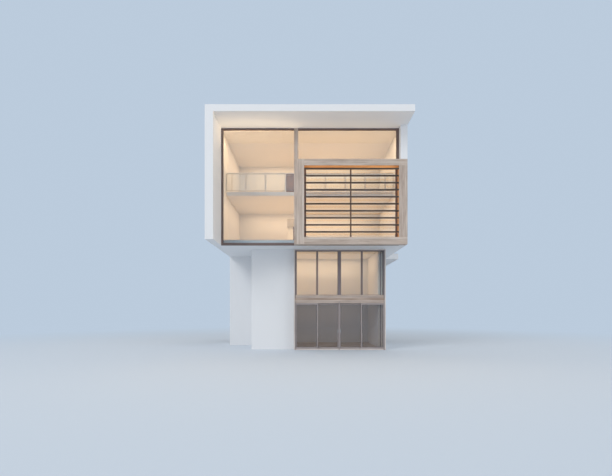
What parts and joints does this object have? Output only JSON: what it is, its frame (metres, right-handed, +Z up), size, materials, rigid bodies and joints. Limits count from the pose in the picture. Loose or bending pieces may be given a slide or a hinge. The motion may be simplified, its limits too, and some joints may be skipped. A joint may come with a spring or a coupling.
{
  "type": "modern alpine house",
  "caption": "Hollow flat-roofed white house: a cantilevered upper box with tall glazing and a timber slat screen over a stepped base with sliding glass doors.",
  "frame": {"origin": "on the ground, below the middle of the house's outer box", "axes": "+Z up, the front faces -Y, +X to the right of someone facing the front"},
  "size_m": [10.9, 12, 12.03],
  "materials": {
    "white_render": "fine white mineral render",
    "weathered_timber": "weathered grey timber, warm brown in the reveals",
    "brown_timber": "oiled brown timber",
    "bay_board": "pale greyed timber board",
    "dark_frame": "dark bronze window frame, satin",
    "white_metal": "white painted steel",
    "glass": "clear double glazing"
  },
  "bodies": {
    "house": {"roof_slab": "white_render", "roof_upstand": "white_render", "left_blade_wall": "white_render", "right_front_pier": "white_render", "upper_right_wall": "white_render", "upper_back_wall": "white_render", "upper_floor_slab": "white_render", "gallery_floor": "white_render", "gallery_balustrade": "white_metal", "gallery_balustrade_panes": "glass", "side_terrace_slab": "white_render", "upper_cross_wall": "white_render", "gallery_room_door": "brown_timber", "tall_timber_post": "weathered_timber", "upper_front_mullions": "dark_frame", "upper_front_transoms": "dark_frame", "big_window_pane": "glass", "clerestory_pane": "glass", "louvre_window_panes": "glass", "louvre_rails": "weathered_timber", "louvre_stiles": "weathered_timber", "louvre_slats": "weathered_timber", "lower_front_wall": "white_render", "lower_return_wall": "white_render", "lower_recessed_wall": "white_render", "lower_left_wall": "white_render", "lower_right_wall": "white_render", "lower_back_wall": "white_render", "lower_cross_wall": "white_render", "ground_slab": "white_render", "first_floor_slab": "white_render", "bay_side_boards": "bay_board", "bay_head_board": "bay_board", "bay_posts": "dark_frame", "door_threshold": "bay_board", "door_head_frame": "weathered_timber", "bay_spandrel_board": "weathered_timber", "first_floor_transoms": "weathered_timber", "first_floor_mullions": "dark_frame", "first_floor_panes": "glass", "fixed_door_leaves": "dark_frame", "fixed_door_panes": "glass", "lower_window_mullions": "dark_frame", "lower_window_transoms": "dark_frame", "lower_window_panes": "glass", "upper_window_mullions": "dark_frame", "upper_window_transoms": "dark_frame", "upper_window_panes": "glass"},
    "left_door": {"left_sliding_leaf": "dark_frame", "left_sliding_pane": "glass"},
    "right_door": {"right_sliding_leaf": "dark_frame", "right_sliding_pane": "glass"}
  },
  "joints": [
    {"name": "left_door_slide", "type": "slide", "parent": "house", "child": "left_door", "axis": [-1, 0, 0], "range_m": [0, 1.03]},
    {"name": "right_door_slide", "type": "slide", "parent": "house", "child": "right_door", "axis": [1, 0, 0], "range_m": [0, 1.03]}
  ]
}
